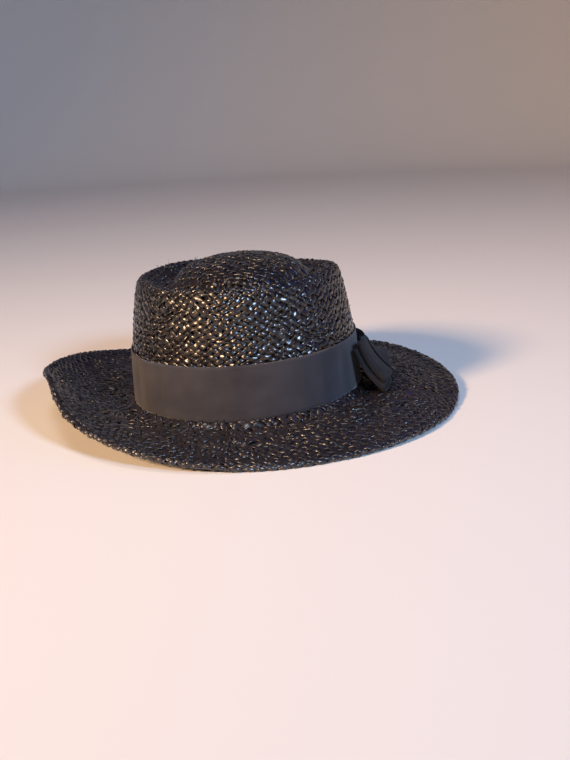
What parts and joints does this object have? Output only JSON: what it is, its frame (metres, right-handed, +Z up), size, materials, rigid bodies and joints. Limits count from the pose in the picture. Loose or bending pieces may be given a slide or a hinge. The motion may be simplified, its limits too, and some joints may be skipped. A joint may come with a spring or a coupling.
{
  "type": "straw hat",
  "caption": "Woven straw hat with a telescope crown, a wide brim rolled up at one side, a ribbon band and a flat ribbon bow.",
  "frame": {"origin": "middle of the hat's box seen from above, on the surface that the brim stands on", "axes": "+Z up out of the crown, -Y towards the face, +X towards the wearer's left, where the bow is"},
  "size_m": [0.3104, 0.349, 0.1104],
  "materials": {
    "crown_straw": "black lacquered straw, glossy, woven on the bias",
    "brim_straw": "black lacquered straw, glossy, woven on the bias",
    "band_ribbon": "matte charcoal grosgrain ribbon",
    "bow_ribbon": "matte charcoal grosgrain ribbon"
  },
  "bodies": {
    "root": {"crown": "crown_straw", "brim": "brim_straw", "hat_band": "band_ribbon", "bow_lower_loop": "bow_ribbon", "bow_upper_loop": "bow_ribbon", "bow_knot": "bow_ribbon"}
  },
  "joints": []
}
